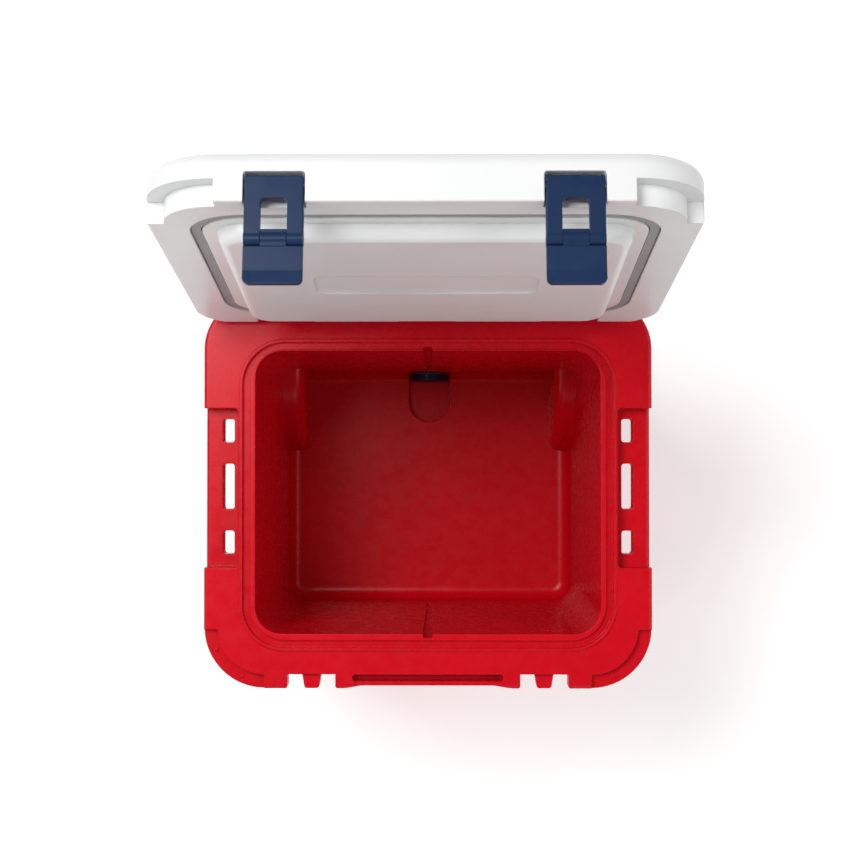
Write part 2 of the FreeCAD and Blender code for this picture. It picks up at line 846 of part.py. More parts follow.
def make_drain():
    """The drain through the back wall: fitting, seal, nut and the plug that closes it."""
    face = DRAIN_FACE
    wall = wall_back("drain_z")
    disc = rod("drain_disc", "drain_collar", 0, f"{face} - drain_collar - drain_seal", "drain_z", "Y")
    tube = rod("drain_tube", f"{wall} + drain_reach - {face}", 0, f"{face} - drain_seal", "drain_z", "Y")
    bore = rod("drain_bore", "body_depth", 0, 0, "drain_z", "Y")
    keep("drain_fitting", cut(fuse(disc, tube), bore))
    seal = pipe("drain_tube + 7", "drain_tube + fit", "drain_seal", 0, f"{face} - drain_seal", "drain_z", "Y")
    keep("drain_seal", seal)
    square = span("0", "1.75 * drain_nut")
    nut = slab(square, square, "0", "drain_nut_width", ("drain_nut / 3",))
    nut.Placement.Rotation = ALONG["Y"]
    place(nut, 0, f"{wall} + 0.8", "drain_z")
    thread = rod("drain_tube + fit", "body_depth / 2", 0, "room_depth / 2", "drain_z", "Y")
    keep("drain_nut", cut(nut, thread))


def make_drain_plug():
    """The cap that screws on to the outer end of the drain, with its sealing ring."""
    end = f"({wall_back('drain_z')} + drain_reach)"
    cap = rod("plug_radius", "plug_length", 0, f"{end} - plug_length + 4", "drain_z", "Y")
    skirt = rod("drain_tube + gap", "plug_length + drain_seal / 2", 0, f"{end} - plug_length", "drain_z", "Y")
    grip = box(span("0", "2 * plug_radius - 4"), (f"{end} + 3", f"{end} + 3 + plug_grip"), span("drain_z", "7"))
    keep("drain_plug", fuse(cut(cap, skirt), grip))
    ring = pipe("drain_tube - gap", "drain_bore + gap", "drain_seal / 2", 0, end, "drain_z", "Y")
    keep("drain_plug_seal", ring)


def make_feet():
    """Rubber feet under the legs and their screws."""
    for name, side in SIDES:
        x = span(f"{side} * leg_x", "leg_width - 2 * foot_margin")
        y = ("leg_front + foot_margin", "leg_back - foot_margin")
        foot = slab(x, y, "foot_height", "0", ("10",), "-6", (("0", "2"),))
        holes = []
        for screw_x, screw_y in leg_screw_places()[(1 + side):(3 + side)]:
            holes.append(rod("screw_radius + gap", "foot_height", screw_x, screw_y, "0"))
            holes.append(rod("screw_head + gap", "foot_height - 3", screw_x, screw_y, "0"))
        keep(f"foot_{name}", cut(foot, *holes))
    keep("foot_screws", group(*[screw(x, y, "foot_height - 3") for x, y in leg_screw_places()]))


def make_axle():
    """The axle, the two brackets that hold it under the body, and its washers and clips."""
    keep("axle", rod("axle_radius", "2 * axle_end", "-axle_end", "wheel_y", "wheel_radius", "X"))
    for name, side in SIDES:
        middle = f"{side} * bracket_x"
        plate = slab(span(middle, "bracket_width"), span("wheel_y", "bracket_length"),
                     "base_height - bracket_thickness", "base_height", ("6",))
        block = box(span(middle, "bracket_width"), span("wheel_y", "channel_width - 1"),
                    ("base_height", "wheel_radius + channel_gap - 0.5"))
        bore = rod("axle_radius", "bracket_width + 2", f"{middle} - bracket_width / 2 - 1",
                   "wheel_y", "wheel_radius", "X")
        holes = [rod("screw_radius", "20", x, y, "base_height - 10")
                 for x, y in bracket_screw_places()[(1 + side):(3 + side)]]
        keep(f"axle_bracket_{name}", cut(fuse(plate, block), bore, *holes))
    screws = [screw(x, y, "base_height - bracket_thickness", length="screw_length - bracket_thickness")
              for x, y in bracket_screw_places()]
    keep("bracket_screws", group(*screws))
    hub_end = "wheel_inside + wheel_width - 3 + gap"
    washers = []
    for start in ("wheel_inside - 2", hub_end):
        washer = pipe("washer_radius", "axle_radius", "washer_thickness", start, "wheel_y", "wheel_radius", "X")
        washers += [washer, mirrored(washer)]
    clip = pipe("clip_radius", "axle_radius", "clip_thickness", f"{hub_end} + washer_thickness",
                "wheel_y", "wheel_radius", "X")
    keep("axle_washers", group(*washers))
    keep("axle_clips", group(clip, mirrored(clip)))


def wheel_pose(side):
    """Placement of a piece drawn round the z axis from the inner face of its wheel outwards."""
    def pose(item):
        item.Placement.Rotation = FreeCAD.Rotation(FreeCAD.Vector(0, 1, 0), 90 * side)
        place(item, f"{side} * wheel_inside", "body_y + wheel_y", "wheel_radius")
    return pose


def around(item, count):
    """Copies of a tool turned evenly about the z axis."""
    copies = []
    for number in range(count):
        copy = document.addObject("Part::Compound", "Copy")
        copy.Links = [item]
        copy.Placement.Rotation = FreeCAD.Rotation(FreeCAD.Vector(0, 0, 1), 360 * number / count)
        copies.append(copy)
    return copies


def make_tyre():
    """A solid tyre with rounded shoulders and three grooves round its tread."""
    tyre = turned([("rim_radius", "2"), ("wheel_radius - tyre_shoulder", "0"), ("wheel_radius - 1.5", "3"),
                   ("wheel_radius", "tyre_shoulder"), ("wheel_radius", "wheel_width - tyre_shoulder"),
                   ("wheel_radius - 1.5", "wheel_width - 3"), ("wheel_radius - tyre_shoulder", "wheel_width"),
                   ("rim_radius", "wheel_width - 2")])
    grooves = [pipe("wheel_radius + 5", "wheel_radius - tread_depth", "tread_groove", 0, 0,
                    f"wheel_width * {share} - tread_groove / 2") for share in ("0.3", "0.5", "0.7")]
    return cut(tyre, *grooves)


def make_hub():
    """A dished hub with round windows between its spokes."""
    web = "(wheel_width / 2 - 4)"
    hub = turned([("hub_bore", "0"), ("hub_bore + 9", "0"), ("hub_bore + 11", web), ("rim_radius - 6", web),
                  ("rim_radius - 4", "2"), ("rim_radius", "2"), ("rim_radius", "wheel_width - 2"),
                  ("rim_radius - 4", "wheel_width - 2"), ("rim_radius - 6", f"{web} + 8"),
                  ("hub_bore + 15", f"{web} + 10"), ("hub_bore + 13", "wheel_width - 3"),
                  ("hub_bore", "wheel_width - 3")])
    window = rod("spoke_window / 2", "wheel_width", "spoke_ring + 2", 0, 0)
    return cut(hub, *around(window, SIZES["spokes"]))


def make_wheels():
    """Two wheels, each a tyre, a spoked hub, a bush and a cap."""
    top = "(wheel_width - 3 + cap_height)"
    for name, side in SIDES:
        pose = wheel_pose(side)
        keep(f"tyre_{name}", make_tyre(), pose)
        keep(f"hub_{name}", make_hub(), pose)
        bush = turned([("axle_radius + fit", "0"), ("hub_bore", "0"), ("hub_bore", "wheel_width - 3"),
                       ("axle_radius + fit", "wheel_width - 3")])
        keep(f"wheel_bush_{name}", bush, pose)
        cap = turned([("hub_bore + 9", "wheel_width - 3"), ("hub_bore + 13", "wheel_width - 3"),
                      ("hub_bore + 13", f"{top} - 3"), ("hub_bore + 9", top), ("0", top), ("0", f"{top} - 2"),
                      ("hub_bore + 9", f"{top} - 2")])
        keep(f"hub_cap_{name}", cap, pose)


def hinge_spaces():
    """Spaces in the back of the lid for the hinge ears."""
    pieces = []
    reach = "(ear_radius + 1.2)"
    for place_x in ("-ear_x", "0", "ear_x"):
        x = span(place_x, "ear_width + 2 * gap")
        pieces.append(rod(reach, "ear_width + 2 * gap", x[0], HINGE_Y, HINGE_Z, "X"))
        pieces.append(box(x, (f"{HINGE_Y} - {reach}", "body_depth"), ("rim_height - 5", HINGE_Z)))
        open_top = f"{HINGE_Z} + {reach} + hinge_rise * sin(lid_open - 90)"
        pieces.append(box(x, (HINGE_Y, "body_depth"), ("rim_height", open_top)))
    return pieces


def latch_spaces():
    """Recesses in the front of the lid for the latch bars, and the bores for their pins."""
    pieces = []
    for side in (-1, 1):
        middle = f"{side} * latch_x"
        body = new_body("Recess")
        x = span(middle, "link_width + 2.4")
        sketch = rounded(new_sketch(body, "XZ_Plane", "body_depth / 2 - latch_recess"),
                         x, ("rim_height - 30", f"{BAR_TOP} + 3.2"), "3")
        pad(body, sketch, "60")
        pieces.append(body)
        start = f"{middle} - link_width / 2 - 11"
        pieces.append(rod("pin_radius", "link_width + 22", start, PIN_Y, PIN_Z, "X"))
    return pieces


def lid_back_edge():
    """What is taken from the lid's lower back edge, to round it about the hinge."""
    middle = "(rim_height + lid_gap + hinge_round)"
    corner = box(("-body_width", "body_width"), (HINGE_Y, "body_depth"), ("rim_height - 5", middle))
    return cut(corner, rod("hinge_round", "2.2 * body_width", "-1.1 * body_width", HINGE_Y, middle, "X"))


def hinge_bores():
    """The bore for the hinge rod through the lid, and the wider ends that its caps close."""
    bore = rod("rod_radius + fit + 0.05", "2 * rod_end + 2", "-rod_end - 1", HINGE_Y, HINGE_Z, "X")
    ends = [rod("rod_radius + 3", "body_width / 2 - rod_end", x, HINGE_Y, HINGE_Z, "X")
            for x in ("-body_width / 2 - 1", "rod_end + 1")]
    return [bore, *ends]


def lid_filling(plug_face):
    """The foam inside the lid, above the seal and inside the plug."""
    top = "(rim_height + lid_thickness)"
    upper = slab(*rectangle("body_width - 2 * lid_skin", "body_depth - 2 * lid_skin - 34", "2"),
                 "rim_height + bead_height + seal_height + 5", f"{top} - 5",
                 ("front_corner - 14", "back_corner - 6"))
    lower = slab(*rectangle("room_width - 2 * plug_gap - 18", "room_depth - 2 * plug_gap - 18"),
                 f"{plug_face} + 6", "rim_height + 30", ("room_corner - plug_gap - 8",))
    return fuse(upper, lower)


def make_lid():
    """The lid's shell, the foam inside it and the gasket in its channel."""
    x, y = rectangle("body_width", "body_depth")
    low, high = "(rim_height + lid_gap)", "(rim_height + lid_thickness)"
    slab_edges = ((high, "lid_edge"), (low, "2"))
    cover = slab(x, y, low, high, ("front_corner", "back_corner"), edges=slab_edges)
    inside = rectangle("room_width - 2 * plug_gap", "room_depth - 2 * plug_gap")
    bottom = "(rim_height - plug_height)"
    plug = slab(*inside, low, bottom, ("room_corner - plug_gap",), "-plug_draft", ((bottom, "plug_edge"),))
    channel = seal_ring("(bead_thickness - seal_width) / 2 - 1", "seal_width + 2", low,
                        "rim_height + bead_height + seal_height + 1.4")
    panel = slab(*rectangle("panel_width", "panel_depth"), f"{bottom} - 5", f"{bottom} + panel_recess",
                 ("panel_corner",))
    foam = lid_filling(bottom)
    shell = cut(
        fuse(cover, plug),
        channel,
        panel,
        lid_back_edge(),
        *hinge_spaces(),
        *latch_spaces(),
        *corner_ledges("ledge_width", "rim_height - 5", "rim_height + notch_height"),
        *hinge_bores(),
    )
    keep("lid_foam", group(foam), swing)
    keep("lid_shell", cut(shell, foam), swing)
    seal_low = "(rim_height + bead_height + 0.4)"
    seal_high = f"{seal_low} + seal_height + 1"
    seal = seal_ring("(bead_thickness - seal_width) / 2", "seal_width", seal_low, seal_high)
    keep("lid_gasket", seal, swing)


def make_hinge():
    """The hinge rod held in the body's ears, and the caps that close its bore in the lid."""
    keep("hinge_rod", rod("rod_radius", "2 * rod_end", "-rod_end", HINGE_Y, HINGE_Z, "X"))
    caps = [rod("rod_radius + 3", "hinge_cap", x, HINGE_Y, HINGE_Z, "X")
            for x in ("-rod_end - 1 - hinge_cap", "rod_end + 1")]
    keep("hinge_caps", group(*caps), swing)


def bent_plate(x, corners, radius="1"):
    """A side outline in y and z, extruded across x, with its long edges rounded."""
    body = new_body("Plate")
    sketch = polygon(new_sketch(body, "YZ_Plane", x[0]), corners)
    feature = pad(body, sketch, f"({x[1]}) - ({x[0]})")
    soften(body, feature, radius, lambda e: abs(e.Vertexes[0].X - e.Vertexes[-1].X) > 1)
    return body


def through(x, z, *radii):
    """A rounded outline in x and z, extruded right through the object from front to back."""
    body = new_body("Through")
    pad(body, rounded(new_sketch(body, "XZ_Plane"), x, z, *radii), "2 * body_depth", middle=True)
    return body


def make_link(middle, inner):
    """A latch link: a flat plate with a window, a round bar on the lid's pin and two knuckles."""
    body = new_body("Plate")
    sketch = new_sketch(body, "XZ_Plane", f"-({LINK_FACE} + link_depth)")
    rounded(sketch, span(middle, "link_width"), (LEVER_Z, BAR_TOP), "1.5")
    plate = pad(body, sketch, "link_depth")
    soften(body, plate, "link_edge", facing("Y", LINK_FACE))
    window = through(span(middle, f"2 * {inner}"), (f"{LEVER_Z} - 5", "rim_height + latch_rise"),
                     "1", "link_corner")
    start = f"{middle} - link_width / 2"
    bar = rod("bar_depth / 2", "link_width", start, PIN_Y, PIN_Z, "X")
    knuckles = [rod("knuckle", "link_arm", x, LEVER_Y, LEVER_Z, "X") for x in (start, f"{middle} + {inner}")]
    bores = [rod(radius, "link_width + 2", f"{start} - 1", y, z, "X")
             for radius, y, z in (("pin_radius + fit", PIN_Y, PIN_Z), ("pin_radius", LEVER_Y, LEVER_Z))]
    return cut(fuse(cut(body, window), bar, *knuckles), *bores)


def make_lever(middle, inner):
    """A latch lever: a hooked tongue, a hub on the link's pin and a plate to pull."""
    narrow = span(middle, f"2 * {inner} - 2 * gap")
    back = f"({LEVER_Y} + tongue_depth / 2)"
    front = f"({LEVER_Y} - tongue_depth / 2)"
    tip = f"({FLANGE_Z} - gap)"
    tongue = bent_plate(narrow, [(front, LEVER_Z), (back, LEVER_Z), (back, tip), (f"{front} - 1", tip),
                                 (f"{front} - 1", f"{tip} - 3"), (front, f"{tip} - 5")], "0.8")
    hub = rod("knuckle - 0.3", f"2 * {inner} - 2 * gap", narrow[0], LEVER_Y, LEVER_Z, "X")
    top = f"({LEVER_Z} - knuckle - 1.5 * gap)"
    low = f"({top} - lever_length)"
    outer = f"({LEVER_Y} - knuckle + 0.5)"
    inside = f"({outer} + lever_depth)"
    neck = box(narrow, (f"{outer} + 1", f"{inside} + 1"), (f"{top} - 4", LEVER_Z))
    plate = bent_plate(span(middle, "link_width"),
                       [(outer, top), (inside, top), (inside, f"{low} + 12"), (f"{inside} - 2", low),
                        (f"{outer} - 2", low), (outer, f"{low} + 12")])
    outline = through(span(middle, "link_width"), (low, f"{LEVER_Z} + 60"), "lever_edge")
    start = f"{middle} - link_width / 2 - 1"
    bore = rod("pin_radius + fit", "link_width + 2", start, LEVER_Y, LEVER_Z, "X")
    return cut(fuse(common(plate, outline), neck, hub, tongue), bore)


def make_latches():
    """Two latches, each a link on a pin in the lid and a lever on a pin in the link."""
    inner = "(link_width / 2 - link_arm)"
    for name, side in SIDES:
        middle = f"{side} * latch_x"
        keep(f"latch_link_{name}", make_link(middle, inner), swing)
        keep(f"latch_lever_{name}", make_lever(middle, inner), swing)
        pin = rod("pin_radius", "link_width + 20", f"{middle} - link_width / 2 - 10", PIN_Y, PIN_Z, "X")
        keep(f"latch_pin_{name}", pin, swing)
        start = f"{middle} - link_width / 2 + 0.5"
        keep(f"lever_pin_{name}", rod("pin_radius", "link_width - 1", start, LEVER_Y, LEVER_Z, "X"), swing)


# The handle is drawn upright: z = 0 is the foot of its outer tubes and y = 0 their middle line.


def make_handle_tubes():
    """Two rows of three telescoping tubes, with guides at their feet and collars at their tops."""
    top = "sleeve_length"
    middle_top = "(sleeve_length + collar_height + 0.5)"
    inner_top = "(sleeve_length + 2 * collar_height + 1)"
    for name, side in SIDES:
        x = f"{side} * tube_x"
        keep(f"sleeve_{name}", pipe("sleeve_radius", "sleeve_radius - tube_wall", top, x), lean)
        collar = cut(
            fuse(rod("sleeve_radius + 2.5", "collar_height", x, 0, top),
                 rod("sleeve_radius - tube_wall", "guide_length", x, 0, f"{top} - guide_length")),
            rod("middle_radius + fit", "2 * guide_length + collar_height", x, 0, f"{top} - guide_length - 5"))
        keep(f"sleeve_collar_{name}", collar, lean)
        low = "stage_step"
        tube = pipe("middle_radius", "middle_radius - tube_wall", f"{middle_top} - {low}", x, 0, low)
        lock_z = "(3 * stage_step + 10)"
        wall = f"{x} + {side} * (middle_radius - 1) - 3"
        holes = [rod("lock_radius + 0.2", "6", wall, 0, f"{lock_z} + {up}", "X")
                 for up in ("0", "stage_travel")]
        keep(f"middle_tube_{name}", cut(tube, *holes), lean)
        guide = pipe("sleeve_radius - tube_wall - fit", "middle_radius", "stage_step", x, 0, low)
        keep(f"middle_guide_{name}", guide, lean)
        collar = cut(
            fuse(rod("sleeve_radius + 1", "collar_height", x, 0, middle_top),
                 rod("middle_radius - tube_wall", "guide_length", x, 0, f"{middle_top} - guide_length")),
            rod("inner_radius + fit", "2 * guide_length + collar_height", x, 0,
                f"{middle_top} - guide_length - 5"))
        keep(f"middle_collar_{name}", collar, lean)
        low = "(2 * stage_step)"
        tube = pipe("inner_radius", "inner_radius - tube_wall", f"{inner_top} + 16 - {low}", x, 0, low)
        hole = rod("lock_radius + 0.1", "8", f"{x} + {side} * (inner_radius - 1) - 4", 0, lock_z, "X")
        keep(f"inner_tube_{name}", cut(tube, hole), lean)
        guide = pipe("middle_radius - tube_wall - fit", "inner_radius", "stage_step", x, 0, low)
        keep(f"inner_guide_{name}", guide, lean)
        start = f"{x} + {side} * inner_radius - {side} * 4 - 4" if side > 0 else f"{x} - inner_radius"
        keep(f"lock_pin_{name}", rod("lock_radius", "8", start, 0, lock_z, "X"), lean)


def make_handle_grip():
    """The hand bar across the inner tubes, its soft cover, and the release button on a spring."""
    low = "(sleeve_length + 2 * collar_height + 1)"
    high = f"({low} + bar_height)"
    bar_edges = ((high, "8"), (low, "3"))
    bar = slab(*rectangle("bar_length", "bar_width"), low, high, ("12",), edges=bar_edges)
    opening = slab(*rectangle("button_length + 2 * gap", "button_width + 2 * gap"),
                   f"{high} - button_pocket", f"{high} + 5", ("7",))
    sockets = [rod("inner_radius", "16", f"{side} * tube_x", 0, low) for _, side in SIDES]
    waist = slab(*rectangle("2 * tube_x - 40", "bar_width + 20"), f"{low} - 10", f"{high} + 10", ("2",))
    slim = slab(span("0", "2 * tube_x"), span("0", "bar_width - 4"), f"{low} + 2", f"{high} - 2", ("10",))
    ends = cut(bar, waist)
    core = common(bar, fuse(ends, slim))
    keep("grip_core", cut(core, opening, *sockets), lean)
    cover = cut(common(bar, waist), slim, opening)
    keep("grip_cover", cover, lean)
    button = slab(*rectangle("button_length", "button_width"), f"{high} - 8", f"{high} + button_travel - 1",
                  ("6.5",), edges=((f"{high} + button_travel - 1", "2"),))
    keep("release_button", button, lean)
    helix = document.addObject("Part::Helix", "Coil")
    bind(helix, Pitch="spring_pitch", Height="spring_height", Radius="spring_radius")
    circle = document.addObject("Part::Circle", "Wire")
    circle.Placement.Rotation = FreeCAD.Rotation(FreeCAD.Vector(1, 0, 0), 90)
    bind(circle, Radius="spring_wire")
    place(circle, "spring_radius", 0, 0)
    spring = document.addObject("Part::Sweep", "Spring")
    spring.Sections = [circle]
    spring.Spine = (helix, [])
    spring.Solid = True
    spring.Frenet = True
    place(spring, 0, 0, f"{high} - button_pocket + spring_wire + 0.3")
    keep("button_spring", spring, lean)


def make_housing():
    """The frame on the back wall that holds the outer tubes, open in the middle for the drain."""
    line = "(" + HANDLE_Y + " - (rim_height - {0}) * tan(rake))"
    back = "(" + line + " + sleeve_radius + housing_wall + 1)"
    low, high = "(handle_base - 2)", "(handle_base + sleeve_length * cos(rake) - 3)"
    under = f"({FLANGE_Z} - 6)"
    shelf = "(rim_height - 12)"
    front_high = f"({line.format(high)} - sleeve_radius - housing_wall + 0.5)"
    outline = [(wall_back(low) + " + 0.3", low), (back.format(low), low), (back.format(high), high),
               (front_high, high), (front_high, shelf), ("(body_depth / 2 + 1)", shelf),
               ("(body_depth / 2 + 1)", under), (wall_back(under) + " + 0.3", under)]
    outer = prism("YZ_Plane", outline, "-(tube_x + sleeve_radius + housing_wall)",
                  "2 * (tube_x + sleeve_radius + housing_wall)")
    between = "tube_x - sleeve_radius - housing_wall"
    window = box(span("0", f"2 * ({between})"), ("0", "body_depth"),
                 (f"{low} + housing_base", f"{high} - housing_head"))
    hollow_outline = [(wall_back(low) + " - 5", f"{low} + housing_wall"),
                      (f"{back.format(low)} - housing_wall", f"{low} + housing_wall"),
                      (f"{back.format(high)} - housing_wall - 0.6", f"{high} - housing_wall"),
                      (f"{front_high} + housing_wall", f"{high} - housing_wall"),
                      (f"{front_high} + housing_wall", f"{shelf} - housing_wall"),
                      ("(body_depth / 2 + 1) - 20", f"{shelf} - housing_wall"),
                      ("(body_depth / 2 + 1) - 20", f"{under} - 3"), (wall_back(under) + " - 5", f"{under} - 3")]
    hollows = []
    bosses = []
    bores = []
    tabs = []
    for _, side in SIDES:
        rail = prism("YZ_Plane", hollow_outline, f"{side} * tube_x - sleeve_radius", "2 * sleeve_radius")
        hollows.append(rail)
        for pieces, radius in ((bosses, "sleeve_radius + 2.5"), (bores, "sleeve_radius")):
            tube = rod(radius, "sleeve_length + 20" if pieces is bosses else "2 * sleeve_length",
                       f"{side} * tube_x", 0, "0" if pieces is bosses else "-0.5")
            leaning = group(tube)
            leaning.Placement.Rotation = FreeCAD.Rotation(FreeCAD.Vector(1, 0, 0), -value("rake"))
            bind(leaning, Placement__Rotation__Angle="-rake")
            place(leaning, 0, f"{HANDLE_Y} - (rim_height - handle_base) * tan(rake)", "handle_base")
            pieces.append(leaning)
    for x, z in housing_screw_places():
        wall = wall_back(z)
        tab = box(span(x, "tab_width"), (f"{wall} + 0.6", f"{wall} + 0.6 + tab_thickness"),
                  span(z, "tab_height"))
        tabs.append(tab)
    block = cut(outer, window, *hollows)
    holders = [common(outer, boss) for boss in bosses]
    holes = [rod("screw_radius", "60", x, f"{wall_back(z)} - 10", z, "Y")
             for x, z in housing_screw_places()]
    keep("handle_housing", cut(fuse(block, *holders, *tabs), *bores, *holes))
    screws = [screw(x, f"{wall_back(z)} + 0.6 + tab_thickness", z, up=False)
              for x, z in housing_screw_places()]
    keep("housing_screws", group(*screws))


# ---- build, check and write -------------------------------------------------------------------

make_body()
make_drain()
make_drain_plug()
make_feet()
make_axle()
make_wheels()
make_lid()
make_hinge()
make_latches()
make_handle_tubes()
make_handle_grip()
make_housing()
document.recompute()

for item in document.Objects:
    if "Invalid" in item.State or "Error" in item.State:
        raise RuntimeError(f"{item.Name} ({item.Label}) is {item.State}")
for name, item in PARTS.items():
    if item.Shape.isNull() or not item.Shape.isValid() or not item.Shape.Solids:
        raise RuntimeError(f"{name} has no valid solid")

os.makedirs("parts", exist_ok=True)
for name, item in PARTS.items():
    item.Shape.exportStep(f"parts/{name}.step")
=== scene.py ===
import bpy
import bmesh
import json
import math
from mathutils import Matrix, Vector


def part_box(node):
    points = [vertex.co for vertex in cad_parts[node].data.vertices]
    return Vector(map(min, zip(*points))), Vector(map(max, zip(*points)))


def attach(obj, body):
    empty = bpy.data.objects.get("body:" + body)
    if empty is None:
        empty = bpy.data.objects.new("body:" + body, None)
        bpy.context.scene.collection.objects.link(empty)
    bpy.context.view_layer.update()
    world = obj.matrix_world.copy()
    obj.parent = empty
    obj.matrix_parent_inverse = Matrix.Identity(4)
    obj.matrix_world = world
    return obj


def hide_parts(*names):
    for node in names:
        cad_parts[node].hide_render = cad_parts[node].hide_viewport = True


# A wheeled hard cooler with its lid open: finishes, small detail pieces, floor, light and camera.

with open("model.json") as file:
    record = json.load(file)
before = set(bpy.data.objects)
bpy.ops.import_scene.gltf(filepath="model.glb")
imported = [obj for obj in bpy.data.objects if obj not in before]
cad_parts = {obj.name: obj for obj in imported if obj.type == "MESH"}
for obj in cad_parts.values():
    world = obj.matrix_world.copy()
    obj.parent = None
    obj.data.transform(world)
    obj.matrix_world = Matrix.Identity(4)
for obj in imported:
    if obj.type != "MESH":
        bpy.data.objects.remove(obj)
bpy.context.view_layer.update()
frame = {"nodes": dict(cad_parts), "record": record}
NODES = frame["nodes"]
MM = 0.001


# ---- shader helpers ---------------------------------------------------------------------------


class Shader:
    """A new material with one Principled shader, and short ways to add nodes to it."""

    def __init__(self, name):
        self.material = bpy.data.materials.new(name)
        self.material.use_nodes = True
        self.tree = self.material.node_tree
        self.surface = self.tree.nodes["Principled BSDF"]

    def node(self, kind, **values):
        """A new node, with its own settings."""
        made = self.tree.nodes.new(kind)
        for key, entry in values.items():
            setattr(made, key, entry)
        return made

    def link(self, start, end):
        """Join an output to an input."""
        self.tree.links.new(start, end)

    def set(self, **values):
        """Set plain values on the surface's inputs."""
        for key, entry in values.items():
            self.surface.inputs[key.replace("_", " ")].default_value = entry

    def place(self):
        """Object coordinates in metres, the same at every pose."""
        return self.node("ShaderNodeTexCoord").outputs["Object"]

    def noise(self, scale, detail=3.0, roughness=0.55, stretch=None):
        """A cloudy pattern from 0 to 1, which stretch can draw out into lines."""
        made = self.node("ShaderNodeTexNoise")
        made.inputs["Scale"].default_value = scale
        made.inputs["Detail"].default_value = detail
        made.inputs["Roughness"].default_value = roughness
        where = self.place()
        if stretch:
            mapping = self.node("ShaderNodeMapping")
            mapping.inputs["Scale"].default_value = stretch
            self.link(where, mapping.inputs["Vector"])
            where = mapping.outputs["Vector"]
        self.link(where, made.inputs["Vector"])
        return made.outputs["Fac"]

    def spread(self, source, low, high, start=0.3, end=0.7):
        """Map a 0 to 1 pattern between start and end on to low to high."""
        made = self.node("ShaderNodeMapRange")
        made.inputs["From Min"].default_value = start
        made.inputs["From Max"].default_value = end
        made.inputs["To Min"].default_value = low
        made.inputs["To Max"].default_value = high
        self.link(source, made.inputs["Value"])
        return made.outputs["Result"]

    def blend(self, amount, first, second):
        """A mix of two colours, the first of which may be another pattern."""
        made = self.node("ShaderNodeMix", data_type="RGBA")
        if isinstance(first, tuple):
            made.inputs[6].default_value = (*first, 1)
        else:
            self.link(first, made.inputs[6])
        made.inputs[7].default_value = (*second, 1)
        self.link(amount, made.inputs["Factor"])
        return made.outputs[2]

    def bump(self, source, strength, distance, before=None):
        """A normal that raises a pattern by a distance, on top of another normal."""
        made = self.node("ShaderNodeBump")
        made.inputs["Strength"].default_value = strength
        made.inputs["Distance"].default_value = distance
        self.link(source, made.inputs["Height"])
        if before is not None:
            self.link(before, made.inputs["Normal"])
        return made.outputs["Normal"]

    def worn(self, rounded, amount):
        """From 0 on flat faces to an amount on edges, where handling has rubbed them."""
        made = self.node("ShaderNodeVectorMath", operation="DOT_PRODUCT")
        self.link(rounded, made.inputs[0])
        self.link(self.node("ShaderNodeNewGeometry").outputs["Normal"], made.inputs[1])
        return self.spread(made.outputs["Value"], amount, 0, 0.75, 0.99)

    def soft_edges(self, radius):
        """A normal that rounds sharp edges by a radius."""
        made = self.node("ShaderNodeBevel", samples=4)
        made.inputs["Radius"].default_value = radius
        return made.outputs["Normal"]


def moulded(name, base, shade, rough, grain=1500, edge=1.2 * MM, bump=0.12, wave=0.25, specular=0.5):
    """Moulded plastic: fine grain over a slight waviness, uneven gloss and tiny colour changes."""
    s = Shader(name)
    normal = s.soft_edges(edge)
    colour = s.blend(s.spread(s.noise(9, 4), 0, 1), base, shade)
    colour = s.blend(s.worn(normal, 0.22), colour, tuple(min(1, 1.25 * part + 0.012) for part in base))
    s.link(colour, s.surface.inputs["Base Color"])
    s.link(s.spread(s.noise(60, 5), rough - 0.05, rough + 0.07), s.surface.inputs["Roughness"])
    normal = s.bump(s.noise(26, 2), wave, 0.5 * MM, normal)
    normal = s.bump(s.noise(grain, 2), bump, 0.1 * MM, normal)
    s.link(normal, s.surface.inputs["Normal"])
    s.set(IOR=1.5, Specular_IOR_Level=specular)
    return s.material


def rubber(name, base, shade, rough, grain=2500, edge=0.6 * MM):
    """Rubber: dull, with a dusty bloom and a fine pitted grain."""
    s = Shader(name)
    bloom = s.spread(s.noise(35, 6, 0.7), 0, 1)
    s.link(s.blend(bloom, base, shade), s.surface.inputs["Base Color"])
    s.link(s.spread(s.noise(120, 4), rough - 0.06, rough + 0.08), s.surface.inputs["Roughness"])
    normal = s.bump(s.noise(grain, 3), 0.2, 0.12 * MM, s.soft_edges(edge))
    s.link(normal, s.surface.inputs["Normal"])
    s.set(IOR=1.52, Specular_IOR_Level=0.35)
    return s.material


def brushed(name, base, shade, rough, stretch, metallic=1.0):
    """Metal with fine drawn lines along one direction and faint stains."""
    s = Shader(name)
    stain = s.spread(s.noise(40, 5), 0, 1)
    s.link(s.blend(stain, base, shade), s.surface.inputs["Base Color"])
    lines = s.noise(900, 3, 0.6, stretch)
    s.link(s.spread(lines, rough - 0.08, rough + 0.1), s.surface.inputs["Roughness"])
    normal = s.bump(lines, 0.12, 0.05 * MM, s.soft_edges(0.4 * MM))
    s.link(normal, s.surface.inputs["Normal"])
    s.set(Metallic=metallic, IOR=1.5)
    return s.material


def foam(name):
    """Cream closed-cell foam."""
    s = Shader(name)
    cells = s.node("ShaderNodeTexVoronoi")
    cells.inputs["Scale"].default_value = 700
    s.link(s.place(), cells.inputs["Vector"])
    stain = s.spread(s.noise(30, 5), 0, 1)
    s.link(s.blend(stain, (0.74, 0.64, 0.4), (0.82, 0.74, 0.53)), s.surface.inputs["Base Color"])
    s.link(s.bump(cells.outputs["Distance"], 0.5, 0.4 * MM), s.surface.inputs["Normal"])
    s.set(Roughness=0.92)
    return s.material


